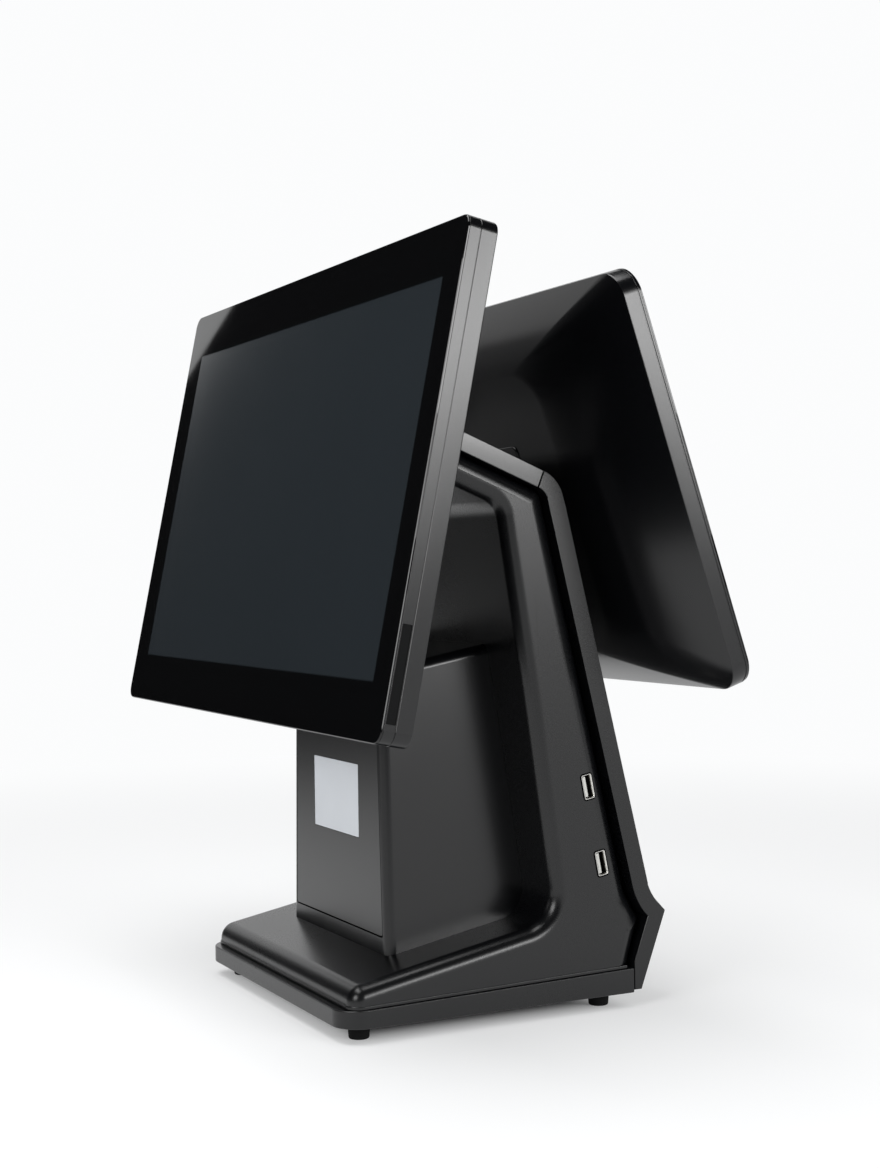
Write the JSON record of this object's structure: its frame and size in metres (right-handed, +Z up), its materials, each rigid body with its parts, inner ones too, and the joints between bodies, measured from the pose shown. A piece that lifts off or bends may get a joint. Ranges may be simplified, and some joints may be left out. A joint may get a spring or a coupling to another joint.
{
  "type": "pos touchscreen terminal",
  "caption": "Black desktop point-of-sale terminal: boot-shaped stand with a computer box, a tilting touch display in front and a smaller tilting customer display behind.",
  "frame": {"origin": "centre of the bottom of the object's box, on the desk between the feet", "axes": "+Z up; +Y to the back, the way the customer display faces; +X to the right of someone facing the main display"},
  "size_m": [0.386, 0.2299, 0.4069],
  "materials": {
    "black_plastic": "fine satin moulding",
    "door_plastic": "fine satin moulding",
    "blank_label": "plain pale film with nothing printed",
    "foot_rubber": "matt",
    "dark_steel": "dark coated steel",
    "bright_steel": "ground steel",
    "socket_steel": "bright tinned steel",
    "tongue_plastic": "pale plastic",
    "socket_plastic": "black plastic",
    "button_plastic": "satin",
    "circuit_board": "green board",
    "heat_sink_aluminium": "plain extrusion",
    "touch_glass": "black-backed glass, polished",
    "display_panel": "dark, switched off",
    "main_display_plastic": "satin moulding",
    "customer_display_plastic": "satin, slightly glossy moulding"
  },
  "bodies": {
    "stand": {"stand_shell": "black_plastic", "base_tray": "black_plastic", "back_cover": "black_plastic", "top_cover": "black_plastic", "computer_box": "black_plastic", "foot_front_left": "foot_rubber", "foot_front_right": "foot_rubber", "foot_rear_left": "foot_rubber", "foot_rear_right": "foot_rubber", "ballast_plate": "dark_steel", "spine_frame": "dark_steel", "main_hinge_bracket": "dark_steel", "customer_hinge_bracket": "dark_steel", "main_hinge_pin": "bright_steel", "customer_hinge_pin": "bright_steel", "main_hinge_washer_left": "bright_steel", "main_hinge_washer_right": "bright_steel", "customer_hinge_washer_left": "bright_steel", "customer_hinge_washer_right": "bright_steel", "usb_shell_upper": "socket_steel", "usb_shell_lower": "socket_steel", "lan_socket": "socket_steel", "usb_tongue_upper": "tongue_plastic", "usb_tongue_lower": "tongue_plastic", "drawer_socket": "socket_plastic", "power_inlet": "socket_plastic", "power_switch": "socket_plastic", "usb_board": "circuit_board", "io_board": "circuit_board", "power_board": "circuit_board", "mainboard": "circuit_board", "memory_module": "circuit_board", "storage_module": "circuit_board", "heat_sink": "heat_sink_aluminium"},
    "main_display": {"main_mount_plate": "dark_steel", "main_driver_board": "circuit_board", "main_glass": "touch_glass", "main_panel": "display_panel", "main_bezel": "main_display_plastic", "main_rear_housing": "main_display_plastic"},
    "customer_display": {"customer_mount_plate": "dark_steel", "customer_driver_board": "circuit_board", "customer_glass": "touch_glass", "customer_panel": "display_panel", "customer_bezel": "customer_display_plastic", "customer_rear_housing": "customer_display_plastic", "customer_rear_cover": "customer_display_plastic"},
    "service_door": {"service_door": "door_plastic", "service_label": "blank_label"},
    "power_button": {"power_button": "button_plastic"}
  },
  "joints": [
    {"name": "main_tilt", "type": "hinge", "parent": "stand", "child": "main_display", "pos_m": [0, -0.04129, 0.3067], "axis": [1, 0, 0], "range_deg": [-15, 4]},
    {"name": "customer_tilt", "type": "hinge", "parent": "stand", "child": "customer_display", "pos_m": [0, 0.04698, 0.26339], "axis": [1, 0, 0], "range_deg": [-10, 5]},
    {"name": "door_pull", "type": "slide", "parent": "stand", "child": "service_door", "axis": [0, -1, 0], "range_m": [0, 0.01]},
    {"name": "power_press", "type": "slide", "parent": "stand", "child": "power_button", "axis": [1, 0, 0], "range_m": [0, 0.0012], "stiffness_N_per_m": 500}
  ]
}
